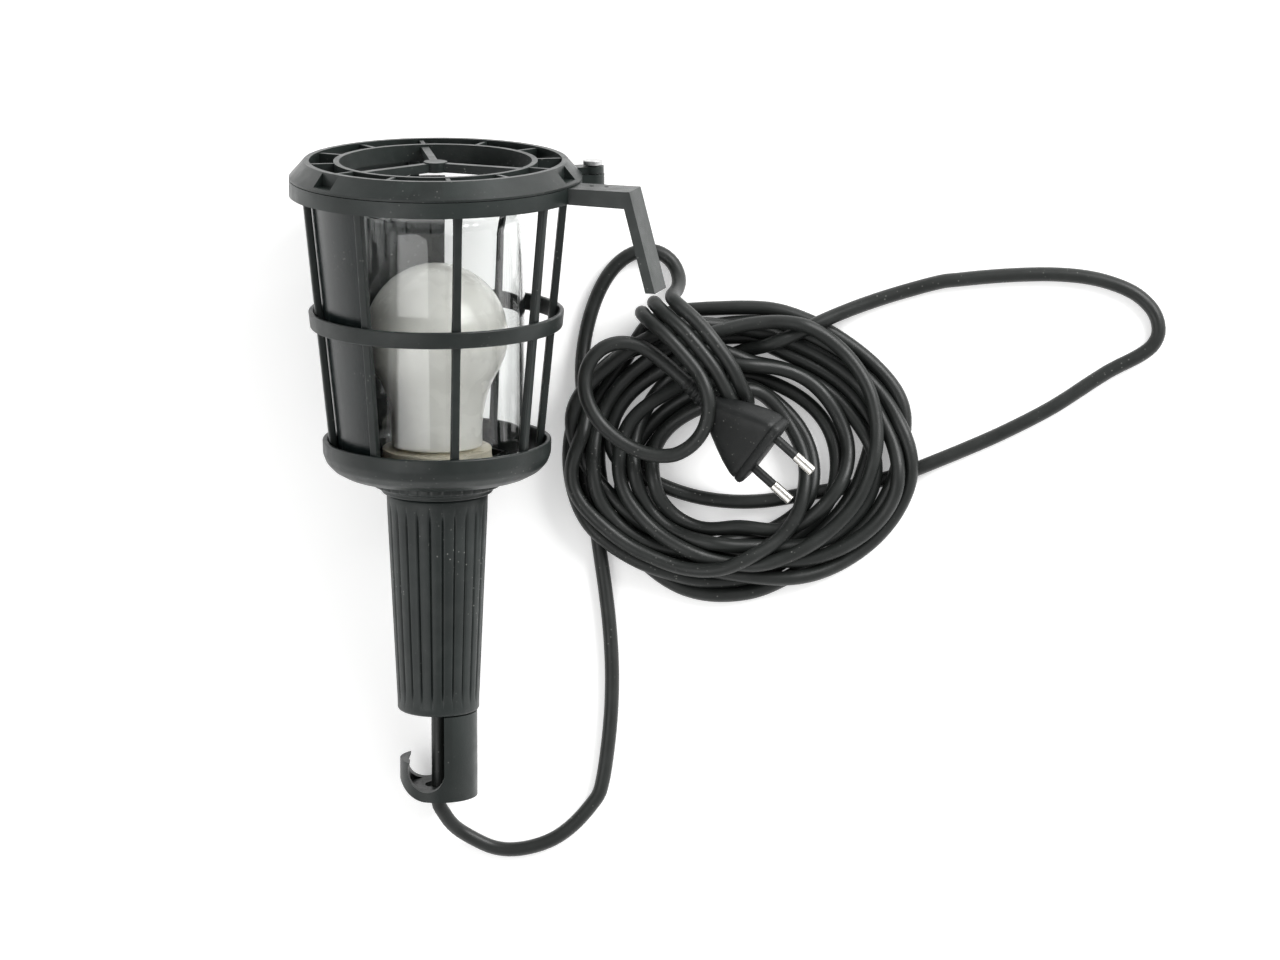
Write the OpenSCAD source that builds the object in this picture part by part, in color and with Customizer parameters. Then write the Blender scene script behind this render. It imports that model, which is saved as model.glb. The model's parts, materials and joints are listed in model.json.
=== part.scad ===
// Caged hand lamp with a glass jar, a swing lid, two hanging hooks and a coiled mains lead.
// The lamp is built upright about its own axis, tail end at height 0, front towards -Y.
// place_lamp() then lays it on the surface z = 0, on its tail and the edge of its bottom cup.

/* [Tail hook] */
// Radius of the tail tube
tail_r = 15; // [13:0.5:17]
// Length of tail that shows below the grip
tail_len = 34; // [28:1:44]
// Wall of the tail tube
tail_wall = 3.2; // [2.4:0.2:4]
// Radius of the hook's opening
hook_gap_r = 7.2; // [5:0.2:7.6]

/* [Grip] */
// Length of the ribbed grip
grip_len = 86; // [70:1:110]
// Radius of the grip at the cage end
grip_top_r = 19.5; // [19:0.5:24]
// Radius of the grip at the tail end
grip_end_r = 15.8; // [15.4:0.2:18]
// Number of grooves round the grip
groove_count = 24; // [12:1:32]
// Depth of each groove
groove_depth = 0.7; // [0.3:0.1:0.9]

/* [Cage] */
// Height of the cage from its floor to its top edge
cage_h = 116; // [104:1:140]
// Outer radius of the top ring
ring_r = 56; // [54:0.5:64]
// Outer radius of the bottom cup
cup_r = 44; // [43:0.5:46]
// Height of the top ring
ring_h = 6; // [5:0.5:10]
// Number of upright bars
bar_count = 8; // [6:1:12]
// Turn of the first bar from the front
bar_turn = 11; // [0:1:44]
// Width of a bar round the cage
bar_w = 3.2; // [2:0.2:5]
// Depth of a bar towards the axis
bar_d = 2.8; // [2:0.2:3.4]
// Height of the middle ring's centre above the cage floor
mid_ring_at = 62; // [50:1:70]
// Height of the middle ring
mid_ring_h = 6.4; // [4:0.2:8]

/* [Lid] */
// Height of the lid
lid_h = 7; // [6:0.5:10]
// Outer radius of the lid's top face
lid_top_r = 50.5; // [49:0.5:52]
// Outer radius of the lid's inner ring
lid_ring_r = 39; // [34:0.5:42]
// Number of ribs between the lid's two rings
lid_ribs = 12; // [6:1:16]
// Distance of the lid's pivot outside the top ring
pivot_out = 5; // [4.5:0.5:10]
// Radius of the lid's pivot pin
pivot_r = 1.5; // [1.2:0.1:2]

/* [Hook arm] */
// Reach of the arm's corner from the lamp axis
arm_reach = 80; // [74:1:95]
// Width of the arm
arm_w = 14; // [10:1:18]
// Length of the arm's leg along the lamp
leg_len = 38.5; // [30:0.5:60]
// Outward lean of the leg over its length
leg_lean = 10.2; // [0:0.2:14]

/* [Glass and bulb] */
// Outer radius of the glass jar
jar_r = 34; // [33:0.5:35]
// Wall of the glass jar
jar_wall = 2; // [1.5:0.1:3]
// Height of the glass jar
jar_h = 101; // [96:1:108]
// Radius of the bulb's globe
bulb_r = 27.5; // [25:0.5:30]
// Height of the globe's centre above the cage floor
bulb_at = 55.5; // [50:0.5:58]

/* [Lead] */
// Diameter of the mains lead
cord_d = 5.6; // [5:0.1:7.2]
// Half height of the coil across the short way
coil_r = 58; // [54:0.5:61]
// Width of the coil's band
coil_band = 28; // [24:0.5:32]
// Height of the coil
coil_h = 19; // [16:0.5:24]
// Distance between the plug's pins
pin_pitch = 18.6; // [17.6:0.2:19.2]

/* [Hidden] */
$fn = 96;
eps = 0.01;
fit_gap = 0.05;      // pieces that are pressed or screwed together
move_gap = 0.3;      // faces that pass each other

// Heights along the lamp, from the tail's end
grip_s = tail_len;
neck_s = grip_s + grip_len;
collar_h = 6;
floor_s = neck_s + collar_h;             // underside of the cage cup
floor_t = 4;
cage_top_s = floor_s + cage_h;
ring_s = cage_top_s - ring_h;
lid_s = cage_top_s + move_gap;
lid_top_s = lid_s + lid_h;

// Radii shared by pieces that fit together
spigot_r = 11.5;                         // tail's spigot inside the grip
spigot_len = 18;
swivel_gap = 0.06;
grip_bore_r = 13.9;
neck_r = 16.8;                           // socket housing's neck inside the grip
neck_len = 20;
neck_wall = 1.1;
holder_r = neck_r - neck_wall - fit_gap;
holder_len = 26;
shell_r = 14.3;
cap_r = 13.2;
flange_r = 24;
flange_t = 1.5;
rim_r = 21;                              // holder's rim above the cage floor
clamp_s = grip_s + spigot_len + 9;
clamp_h = 10;
cord_r = cord_d / 2;
wire_r = 1.2;

// Bars lean outwards between the cup and the top ring
bar_foot_s = floor_s + 10.2;
bar_head_s = cage_top_s - 2;
bar_foot_r = cup_r - 2.7;
bar_head_r = ring_r - 4.2;
pivot_at = ring_r + pivot_out;
bar_lean = atan((bar_head_r - bar_foot_r) / (bar_head_s - bar_foot_s));
bar_len = (bar_head_s - bar_foot_s) / cos(bar_lean);
mid_s = floor_s + mid_ring_at;
shield_t = 1.5;
shield_from = -38;                       // shield runs clockwise from here, seen from the lid
shield_turn = 145;

// Directions round the lamp, in degrees from the front towards +X
arm_turn = 72;
pivot_turn = 101;
lid_spoke_turn = 8;
notch_turns = [-50, 70, 190];

// Lying pose: the cup's widest edge and the tail's corner meet the surface
cup_edge_h = 9.6;
cup_edge_r = cup_r - 0.2;
lie = atan((cup_edge_r - tail_r) / (floor_s + cup_edge_h));
lamp_z = tail_r * cos(lie);
arm_tip_x = (arm_reach + leg_lean) * sin(arm_turn) + arm_w / 2 * cos(arm_turn);
lamp_x = -(arm_tip_x - ring_r) / 2;
lamp_y = -(lid_top_s * cos(lie) + lid_top_r * sin(lie) - tail_r * sin(lie)) / 2;

// Lead: points chosen along the free stretches, on the surface unless lifted
cord_floor = 2.9;
lead_route = [
    [3.5, -146.5], [11.3, -147.8], [19.5, -146.8], [28, -143.8], [35.5, -138.6], [42.3, -131.3],
    [48, -122.8], [52.3, -112.4], [54.6, -96.8], [54.2, -81.2], [52.3, -65.7], [50.3, -50.3],
    [48.6, -37.8], [48, -25.8]
];
lead_drop = [[1.2, -132, 12.4], [4, -136.5, 9.2], [9, -141, 5.4]];
arc_route = [
    [113, 51.5, 16], [124.4, 58, 14], [136, 63.3, 9.5], [147.7, 67.5, 6], [159, 70.5, 4],
    [171, 72.5, 2.9], [182.8, 73.7, 2.9], [202.3, 75.5, 2.9], [221.8, 76.1, 2.9],
    [237.4, 74.7, 2.9], [249.5, 71.2, 2.9], [257, 67, 2.9], [262.3, 61, 2.9], [264, 53.8, 2.9],
    [260.9, 47.6, 2.9], [254, 43.2, 2.9], [245.6, 39, 2.9], [237.4, 33.9, 2.9],
    [221.8, 23.9, 2.9], [202.3, 14, 2.9], [182.8, 5.6, 2.9], [172, 1.5, 3.5], [162, -1, 5]
];
loop_route = [
    [44, 41, 14], [40.3, 52.5, 7], [41.5, 66, 2.9], [48, 79, 2.9], [57.5, 88, 2.9],
    [67, 90, 2.9], [75.5, 84.5, 2.9], [79, 73, 5], [77.5, 63.5, 10], [74, 56, 15]
];
coil_at = [100, 4.4];
coil_flat = 24.5;                        // straight run in each long side of the coil

// Plug
plug_at = [110.4, 6.3, 28];
plug_turn = -42;
plug_roll = 42;
plug_rise = 6;
plug_len = 28;
plug_t = 13.7;
pin_len = 19;
pin_r = 2;
sleeve_len = 10;
sleeve_r = 1.8;
core_r = 1.4;                            // pin's core inside its sleeve

module place_lamp() {
    translate([lamp_x, lamp_y, lamp_z]) rotate([-(90 - lie), 0, 0]) children();
}

// Puts children at a turn from the front, with their own +X pointing away from the axis
module round_lamp(turn, s = 0) {
    translate([0, 0, s]) rotate([0, 0, turn - 90]) children();
}

module ring(outer, inner, h, s = 0) {
    translate([0, 0, s]) difference() {
        cylinder(r = outer, h = h);
        translate([0, 0, -eps]) cylinder(r = inner, h = h + 2 * eps);
    }
}

// ---- tail ----

hook_c = [-4.7, 11];
hook_out_r = 11;

module tail_outline() {
    difference() {
        union() {
            translate(hook_c) circle(r = hook_out_r);
            translate([hook_c[0], 0]) square([tail_r - hook_c[0], hook_c[1]]);
            translate([2.5, 0]) square([tail_r - 2.5, tail_len + 1]);
        }
        translate(hook_c) circle(r = hook_gap_r);
        translate([-tail_r - 2, hook_c[1] + 3.6]) square([tail_r + 4.5, hook_out_r]);
        translate([hook_c[0], hook_c[1]]) square([2.5 - hook_c[0], 5]);
    }
}

module tail_hook() {
    color([0.1, 0.105, 0.11]) place_lamp() difference() {
        union() {
            intersection() {
                cylinder(r = tail_r, h = tail_len - move_gap);
                rotate([90, 0, 0]) linear_extrude(4 * tail_r, center = true) tail_outline();
            }
            translate([2.5, 0, 0]) intersection() {
                translate([-2.5, 0, tail_len - 4]) cylinder(r = spigot_r, h = 5);
                translate([0, -tail_r, tail_len - 4]) cube([tail_r, 2 * tail_r, 5]);
            }
            translate([0, 0, tail_len + 0.6]) cylinder(r = spigot_r, h = spigot_len);
            translate([0, 0, tail_len + 0.6 + spigot_len - eps]) cylinder(r = 12.6, h = 3);
        }
        translate([0, 0, 4]) cylinder(r = tail_r - tail_wall, h = tail_len - 8);
        translate([0, 0, -1]) cylinder(r = cord_r + 2.6, h = tail_len + spigot_len + 6);
    }
}

module swivel_bush() {
    color([0.78, 0.76, 0.7]) place_lamp()
        ring(grip_bore_r - fit_gap, spigot_r + swivel_gap, spigot_len - 4, grip_s + 4);
}

// ---- grip ----

module grip() {
    taper = atan((grip_top_r - grip_end_r) / grip_len);
    color([0.12, 0.135, 0.14]) place_lamp() difference() {
        translate([0, 0, grip_s]) rotate_extrude() polygon([
            [0, 0], [grip_end_r - 1.2, 0], [grip_end_r, 1.2], [grip_end_r, 5],
            [grip_top_r, grip_len - 2], [grip_top_r - 1, grip_len], [0, grip_len]
        ]);
        translate([0, 0, grip_s - 1]) cylinder(r = grip_bore_r, h = grip_len + 2);
        translate([0, 0, neck_s - neck_len]) cylinder(r = neck_r + fit_gap, h = neck_len + 1);
        for (i = [0 : groove_count - 1])
            round_lamp(i * 360 / groove_count, grip_s + 7)
                translate([grip_end_r + 1 - groove_depth, 0, 0]) rotate([0, taper, 0])
                    cylinder(r = 1, h = grip_len - 12, $fn = 24);
    }
}

// ---- cord anchorage and wiring inside the grip ----

module cord_clamp() {
    color([0.8, 0.78, 0.72]) place_lamp() difference() {
        translate([0, 0, clamp_s]) cylinder(r = grip_bore_r - fit_gap, h = clamp_h);
        translate([0, 0, clamp_s - 1]) cylinder(r = cord_r + fit_gap, h = clamp_h + 2);
        translate([-20, -20, clamp_s + 3]) cube([40, 20, clamp_h]);
        for (side = [-1, 1])
            translate([side * 8, -1, clamp_s + 6.5]) rotate([-90, 0, 0]) cylinder(r = 1.3, h = 7);
    }
}

module clamp_saddle() {
    color([0.8, 0.78, 0.72]) place_lamp() difference() {
        translate([-11, -6, clamp_s + 3.2]) cube([22, 5.8, 6.6]);
        translate([0, 0, clamp_s]) cylinder(r = cord_r + fit_gap, h = clamp_h + 2);
        for (side = [-1, 1])
            translate([side * 8, -7, clamp_s + 6.5]) rotate([-90, 0, 0]) cylinder(r = 1.6, h = 8);
    }
}

module clamp_screws() {
    color([0.72, 0.72, 0.7]) place_lamp() for (side = [-1, 1])
        translate([side * 8, 0, clamp_s + 6.5]) rotate([-90, 0, 0]) {
            translate([0, 0, -6.05]) cylinder(r = 1.25, h = 11.5);
            translate([0, 0, -8.05]) cylinder(r = 2.4, h = 2);
        }
}

module cord_end() {
    color([0.09, 0.09, 0.095]) place_lamp()
        translate([0, 0, clamp_s]) cylinder(r = cord_r, h = clamp_h + 4);
}

module core_wires() {
    color([0.45, 0.28, 0.16]) place_lamp() for (side = [-1, 1])
        translate([side * 1.6, 0, clamp_s + clamp_h + 4])
            cylinder(r = wire_r, h = neck_s - neck_len - clamp_s - clamp_h - 4);
}

// ---- socket ----

module socket_housing() {
    color([0.1, 0.105, 0.11]) place_lamp() difference() {
        union() {
            translate([0, 0, neck_s - neck_len]) cylinder(r = neck_r, h = neck_len + collar_h + 1);
            translate([0, 0, floor_s + floor_t]) cylinder(r = flange_r, h = flange_t);
            translate([0, 0, floor_s]) cylinder(r = neck_r, h = floor_t + eps);
        }
        translate([0, 0, neck_s - neck_len - 1])
            cylinder(r = neck_r - neck_wall, h = neck_len + collar_h + 10);
    }
}

module collar_nut() {
    color([0.08, 0.08, 0.085]) place_lamp() translate([0, 0, neck_s + 0.2]) rotate_extrude() polygon([
        [neck_r + fit_gap, 0], [21.5, 0], [21.5, 1.8], [24.4, 2.6], [25, 3.4], [25, 5.2],
        [24.4, 5.75], [neck_r + fit_gap, 5.75]
    ]);
}

module lamp_holder() {
    holder_s = neck_s - holder_len + 10;
    color([0.86, 0.83, 0.74]) place_lamp() difference() {
        union() {
            translate([0, 0, holder_s])
                cylinder(r = holder_r, h = floor_s + floor_t + 8 - holder_s);
            translate([0, 0, floor_s + floor_t + flange_t + fit_gap]) cylinder(r = rim_r, h = 6);
        }
        translate([0, 0, holder_s + 5]) cylinder(r = shell_r + fit_gap, h = 60);
        for (side = [-1, 1])
            translate([side * 7, 0, holder_s - 1]) cylinder(r = 1.5, h = 7);
        translate([0, 0, holder_s - 1]) cylinder(r = 2, h = 7);
    }
}

module screw_shell() {
    color([0.8, 0.68, 0.4]) place_lamp()
        ring(shell_r, cap_r + 0.15, 19, neck_s - holder_len + 15 + fit_gap);
}

module centre_contact() {
    color([0.8, 0.68, 0.4]) place_lamp() translate([0, 0, neck_s - holder_len + 8]) {
        cylinder(r = 1.9, h = 7.5);
        translate([0, 0, 7 + eps]) cylinder(r = 5, h = 1);
    }
}

module terminal_screws() {
    color([0.74, 0.7, 0.6]) place_lamp() for (side = [-1, 1])
        translate([side * 7, 0, neck_s - holder_len + 8]) {
            cylinder(r = 1.4, h = 6);
            translate([0, 0, -0.05]) cylinder(r = 2.6, h = 2);
        }
}

module bulb_globe() {
    rim_s = floor_s + floor_t + 8 + 0.6;
    centre_s = floor_s + bulb_at;
    bulb_neck_r = 17.5;
    tangent = 38;                        // where the globe turns into the taper
    color([0.93, 0.93, 0.9]) place_lamp() rotate_extrude() polygon(concat(
        [[0, rim_s], [bulb_neck_r - 0.6, rim_s], [bulb_neck_r, rim_s + 0.6], [bulb_neck_r, rim_s + 14]],
        [for (a = [-tangent : 6 : 84]) [bulb_r * cos(a), centre_s + bulb_r * sin(a)]],
        [[0, centre_s + bulb_r]]
    ));
}

module bulb_cap() {
    color([0.75, 0.75, 0.74]) place_lamp() {
        translate([0, 0, neck_s - holder_len + 18]) cylinder(r = cap_r, h = 26.5);
        translate([0, 0, neck_s - holder_len + 16.1]) cylinder(r = 4.5, h = 2);
    }
}

module jar_gasket() {
    color([0.16, 0.16, 0.16]) place_lamp()
        ring(jar_r + 2, jar_r - jar_wall - 1, 2, floor_s + floor_t + fit_gap);
}

module glass_jar() {
    foot_s = floor_s + floor_t + 2 + 2 * fit_gap;
    corner = 9;
    color([0.85, 0.9, 0.92, 0.4]) place_lamp() translate([0, 0, foot_s]) rotate_extrude() difference() {
        union() {
            square([jar_r, jar_h - corner]);
            square([jar_r - corner, jar_h]);
            translate([jar_r - corner, jar_h - corner]) circle(r = corner);
        }
        translate([-jar_r, -1]) square([2 * jar_r - jar_wall, jar_h - corner + 1]);
        translate([-jar_r, -1]) square([2 * jar_r - corner, jar_h - jar_wall + 1]);
        translate([jar_r - corner, jar_h - corner]) circle(r = corner - jar_wall);
        translate([-jar_r, -1]) square([jar_r, jar_h + 2]);
    }
}

// ---- cage ----

module cage_cup() {
    color([0.1, 0.105, 0.11]) place_lamp() translate([0, 0, floor_s]) rotate_extrude() polygon([
        [neck_r + fit_gap, 0], [27, 0], [36, 1.4], [cup_r - 4, 3.6], [cup_r - 1.4, 6.4],
        [cup_edge_r, cup_edge_h], [cup_r, 15], [bar_face(floor_s + 15), 15],
        [bar_face(floor_s + 10), 10], [cup_r - 3.8, 7.4], [cup_r - 6, 5.2], [cup_r - 8, floor_t], [neck_r + fit_gap, floor_t]
    ]);
}

module cage_bars() {
    color([0.1, 0.105, 0.11]) place_lamp() for (i = [0 : bar_count - 1])
        round_lamp(bar_turn + i * 360 / bar_count, bar_foot_s)
            translate([bar_foot_r, 0, 0]) rotate([0, bar_lean, 0])
                translate([-bar_d, -bar_w / 2, 0]) cube([bar_d, bar_w, bar_len]);
}

// Outer face of the bars at a height, with room for their corners
function bar_face(s) = bar_foot_r + (s - bar_foot_s) * tan(bar_lean) + 0.15;

module cage_mid_ring() {
    low = mid_s - mid_ring_h / 2;
    high = mid_s + mid_ring_h / 2;
    color([0.1, 0.105, 0.11]) place_lamp() rotate_extrude() polygon([
        [bar_face(low), low], [bar_face(low) + 2, low], [bar_face(high) + 2, high],
        [bar_face(high), high]
    ]);
}

module cage_top_ring() {
    color([0.1, 0.105, 0.11]) place_lamp() difference() {
        union() {
            ring(ring_r, bar_face(cage_top_s), ring_h, ring_s);
            round_lamp(pivot_turn, ring_s) intersection() {
                union() {
                    translate([pivot_at, 0, 0]) cylinder(r = 4.5, h = ring_h);
                    translate([ring_r - 3, -4.5, 0]) cube([pivot_at - ring_r + 3, 9, ring_h]);
                }
                translate([ring_r - 2, -10, 0]) cube([20, 20, ring_h]);
            }
        }
        round_lamp(pivot_turn, ring_s - 1)
            translate([pivot_at, 0, 0]) cylinder(r = pivot_r, h = ring_h + 2, $fn = 48);
    }
}

module glare_shield() {
    low = floor_s + 7;
    high = cage_top_s - ring_h - 1;
    gap = bar_d + 0.45;
    low_r = bar_face(low) - gap / cos(bar_lean);
    high_r = bar_face(high) - gap / cos(bar_lean);
    color([0.07, 0.085, 0.095]) place_lamp()
        rotate([0, 0, shield_from - 90 - shield_turn]) rotate_extrude(angle = shield_turn) polygon([
            [low_r - shield_t, low], [low_r, low], [high_r, high], [high_r - shield_t, high]
        ]);
}

// ---- hook arm ----

module hook_arm() {
    arm_top = cage_top_s;
    leg_t = 3.9;
    arm_h = 6.6;
    inner_r = arm_reach + leg_lean * arm_h / leg_len - leg_t;
    color([0.13, 0.135, 0.14]) place_lamp() round_lamp(arm_turn) difference() {
        translate([0, arm_w / 2, 0]) rotate([90, 0, 0]) linear_extrude(arm_w) polygon([
            [ring_r - 2, arm_top], [arm_reach, arm_top],
            [arm_reach + leg_lean, arm_top - leg_len],
            [arm_reach + leg_lean - leg_t, arm_top - leg_len],
            [inner_r, arm_top - arm_h], [ring_r - 2, arm_top - arm_h + 0.5]
        ]);
        translate([0, 0, arm_top - 20]) cylinder(r = ring_r + fit_gap, h = 30);
        rotate([0, 0, pivot_turn - arm_turn])
            translate([pivot_at, 0, arm_top - 20]) cylinder(r = 4.9, h = 30);
        for (at = arm_screw_at)
            translate([at, 2, arm_top - 5]) cylinder(r = 0.9, h = 6, $fn = 24);
    }
}

arm_screw_at = [62, 68];

module arm_screws() {
    color([0.3, 0.3, 0.3]) place_lamp() round_lamp(arm_turn) for (at = arm_screw_at)
        translate([at, 2, cage_top_s - 4.9]) cylinder(r = 0.85, h = 4.2, $fn = 24);
}

// ---- lid ----

module lid_ring() {
    difference() {
        rotate_extrude() polygon([
            [ring_r - 6, 0], [ring_r, 0], [ring_r, 0.8], [lid_top_r, lid_h],
            [lid_top_r - 2.2, lid_h], [lid_top_r - 2.2, 3]
        ]);
        for (turn = notch_turns)
            round_lamp(turn, 1.6) translate([lid_top_r, -5, 0]) cube([9, 10, lid_h]);
    }
}

module lid() {
    rib_w = 1.6;
    color([0.12, 0.125, 0.13]) place_lamp() translate([0, 0, lid_s]) {
        difference() {
            union() {
                lid_ring();
                ring(lid_ring_r, lid_ring_r - 2.2, lid_h - 0.4);
                for (i = [0 : lid_ribs - 1])
                    round_lamp(lid_spoke_turn + i * 360 / lid_ribs, 1)
                        translate([lid_ring_r - 1, -rib_w / 2, 0])
                            cube([lid_top_r - lid_ring_r - 0.4, rib_w, lid_h - 1.6]);
                for (i = [0 : 2])
                    round_lamp(lid_spoke_turn + 60 + i * 120, 2.4)
                        translate([0, -1.5, 0]) cube([lid_ring_r - 1, 3, 3.4]);
                translate([0, 0, 2.4]) cylinder(r = 4.5, h = 3.8);
                round_lamp(pivot_turn) {
                    translate([pivot_at, 0, 0]) cylinder(r = 4.3, h = 2.6);
                    translate([ring_r - 3, -3.5, 0]) cube([pivot_at - ring_r + 3, 7, 2.6]);
                }
            }
            round_lamp(pivot_turn, -1)
                translate([pivot_at, 0, 0]) cylinder(r = pivot_r + 0.06, h = 6, $fn = 48);
            round_lamp(pivot_turn, 2.6)
                translate([pivot_at, 0, 0]) cylinder(r = 4.3, h = lid_h, $fn = 48);
        }
    }
}

module lid_pin() {
    color([0.4, 0.4, 0.4]) place_lamp() round_lamp(pivot_turn, ring_s + 1)
        translate([pivot_at, 0, 0]) {
            cylinder(r = pivot_r, h = ring_h - 1 + 3.2, $fn = 48);
            translate([0, 0, ring_h - 1 + 3.2]) cylinder(r = 3.7, h = 2, $fn = 48);
        }
}

// ---- lead ----

function unit(v) = v / norm(v);
function heading(route, i) =
    unit(route[min(i + 1, len(route) - 1)] - route[max(i - 1, 0)]);
function side_of(d) = unit(cross([0, 0, 1], d));
function tube_ring(route, i, r, sides) =
    let (d = heading(route, i), u = side_of(d), v = cross(d, u))
    [for (k = [0 : sides - 1])
        route[i] + r * (cos(k * 360 / sides) * u + sin(k * 360 / sides) * v)];

module cord_tube(route, sides = 10) {
    last = len(route) - 1;
    points = [for (i = [0 : last]) each tube_ring(route, i, cord_r, sides)];
    walls = [for (i = [0 : last - 1], k = [0 : sides - 1])
        let (a = i * sides, b = a + sides, n = (k + 1) % sides) [a + k, b + k, b + n, a + n]];
    polyhedron(points, concat(
        walls,
        [[for (k = [0 : sides - 1]) k]],
        [[for (k = [sides - 1 : -1 : 0]) last * sides + k]]
    ), convexity = 8);
}

function on_axis(s) = [lamp_x, lamp_y + s * cos(lie), lamp_z + s * sin(lie)];

module cord_lead() {
    inside = [for (s = [clamp_s - 0.02, clamp_s - 16, 30, 15, 0, -4]) on_axis(s)];
    drop = [for (p = lead_drop) [lamp_x + p[0], p[1], p[2]]];
    lying = [for (p = lead_route) [p[0], p[1], cord_floor]];
    color([0.09, 0.09, 0.095]) cord_tube(concat(inside, drop, lying));
}

module coil_outline(r) {
    for (side = [-1, 1]) translate([side * coil_flat / 2, 0]) circle(r = r);
    square([coil_flat, 2 * r], center = true);
}

module cord_coil() {
    color([0.09, 0.09, 0.095]) translate([coil_at[0], coil_at[1], 0.1]) linear_extrude(coil_h)
        difference() {
            coil_outline(coil_r);
            coil_outline(coil_r - coil_band);
        }
}

module cord_arc() {
    color([0.09, 0.09, 0.095]) cord_tube(arc_route);
}

module cord_loop() {
    color([0.09, 0.09, 0.095]) cord_tube(loop_route);
}

// ---- plug: its pins point along +X before it is placed ----

module place_plug() {
    translate(plug_at) rotate([0, -plug_rise, plug_turn]) rotate([plug_roll, 0, 0]) children();
}

module plug_body() {
    half_w = 17.2;
    color([0.1, 0.1, 0.105]) place_plug() difference() {
        translate([0, 0, -plug_t / 2]) linear_extrude(plug_t) polygon([
            [0, -half_w + 1], [0, half_w - 1], [-1, half_w], [-10, half_w], [-24, 11],
            [-plug_len, 6], [-plug_len, -6], [-24, -11], [-10, -half_w], [-1, -half_w]
        ]);
        for (side = [-1, 1])
            translate([-8.02, side * pin_pitch / 2, 0]) rotate([0, 90, 0])
                cylinder(r = core_r, h = 9, $fn = 48);
    }
}

module plug_pins() {
    color([0.78, 0.77, 0.74]) place_plug() for (side = [-1, 1])
        translate([0, side * pin_pitch / 2, 0]) rotate([0, 90, 0]) {
            translate([0, 0, -8]) cylinder(r = core_r, h = 8 + sleeve_len, $fn = 48);
            translate([0, 0, sleeve_len]) cylinder(r = pin_r, h = pin_len - sleeve_len, $fn = 48);
        }
}

module pin_sleeves() {
    color([0.1, 0.1, 0.105]) place_plug() for (side = [-1, 1])
        translate([0.02, side * pin_pitch / 2, 0]) rotate([0, 90, 0]) difference() {
            cylinder(r = sleeve_r, h = sleeve_len - 0.04, $fn = 48);
            translate([0, 0, -1]) cylinder(r = core_r, h = sleeve_len + 2, $fn = 48);
        }
}

grip();
swivel_bush();
tail_hook();
cord_clamp();
clamp_saddle();
clamp_screws();
cord_end();
core_wires();
socket_housing();
collar_nut();
lamp_holder();
screw_shell();
centre_contact();
terminal_screws();
bulb_globe();
bulb_cap();
jar_gasket();
glass_jar();
cage_cup();
cage_bars();
cage_mid_ring();
cage_top_ring();
glare_shield();
hook_arm();
arm_screws();
lid();
lid_pin();
cord_lead();
cord_coil();
cord_arc();
cord_loop();
plug_body();
plug_pins();
pin_sleeves();
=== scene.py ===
"""Visual model of a caged hand lamp and its coiled lead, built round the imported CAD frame."""

import json
import math

import bmesh
import bpy
import numpy as np
from mathutils import Matrix, Vector


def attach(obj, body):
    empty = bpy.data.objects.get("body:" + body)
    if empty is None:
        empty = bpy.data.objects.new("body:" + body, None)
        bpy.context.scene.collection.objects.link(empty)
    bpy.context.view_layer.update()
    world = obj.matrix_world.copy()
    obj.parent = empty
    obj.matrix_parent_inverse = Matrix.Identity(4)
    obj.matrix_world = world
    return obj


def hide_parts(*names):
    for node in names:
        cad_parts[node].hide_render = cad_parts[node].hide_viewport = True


MM = 0.001
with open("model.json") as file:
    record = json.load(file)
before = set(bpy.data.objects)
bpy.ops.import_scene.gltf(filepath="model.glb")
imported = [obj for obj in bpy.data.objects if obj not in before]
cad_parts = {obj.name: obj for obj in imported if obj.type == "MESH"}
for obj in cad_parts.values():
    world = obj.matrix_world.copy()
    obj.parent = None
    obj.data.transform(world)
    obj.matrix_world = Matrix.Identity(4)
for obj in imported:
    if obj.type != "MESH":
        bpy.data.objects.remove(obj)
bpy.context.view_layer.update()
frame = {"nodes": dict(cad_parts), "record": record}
nodes = frame["nodes"]
record = frame["record"]


# ---------------------------------------------------------------- frame

def joint_named(name):
    return next(j for j in record["behaviour"]["joints"] if j["name"] == name)


SWIVEL = joint_named("tail_swivel")
LAMP_AXIS = Vector(SWIVEL["axis"]).normalized()
TAIL_LEN = 34.0                      # the swivel's point lies half way up the tail
GRIP_LEN = 86.0
GRIP_TOP_R = 19.5
GRIP_END_R = 15.8
COLLAR_H = 6.0
CAGE_H = 116.0
CUP_R = 44.0
RING_R = 56.0
NECK_S = TAIL_LEN + GRIP_LEN
FLOOR_S = NECK_S + COLLAR_H
TOP_S = FLOOR_S + CAGE_H

# Lamp frame: +Z along the lamp, -Y up and away from the surface, in millimetres
lamp_x = Vector((1, 0, 0))
lamp_y = LAMP_AXIS.cross(lamp_x)
tail_end = Vector(SWIVEL["pos_m"]) - LAMP_AXIS * (TAIL_LEN / 2 * MM)
LAMP = Matrix.Translation(tail_end) @ Matrix((
    (lamp_x.x, lamp_y.x, LAMP_AXIS.x, 0),
    (lamp_x.y, lamp_y.y, LAMP_AXIS.y, 0),
    (lamp_x.z, lamp_y.z, LAMP_AXIS.z, 0),
    (0, 0, 0, 1),
)) @ Matrix.Scale(MM, 4)


def on_axis(s):
    """A point on the lamp's axis in the row frame, in millimetres."""
    return tuple(LAMP @ Vector((0, 0, s)) / MM)


# ---------------------------------------------------------------- camera

VIEW_AT = Vector((0.0620, -0.0040, 0.040))
VIEW_DISTANCE = 3.0
PIXELS_PER_M = 2600.0
IMAGE_W = 1280
SENSOR_W = 36


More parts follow.
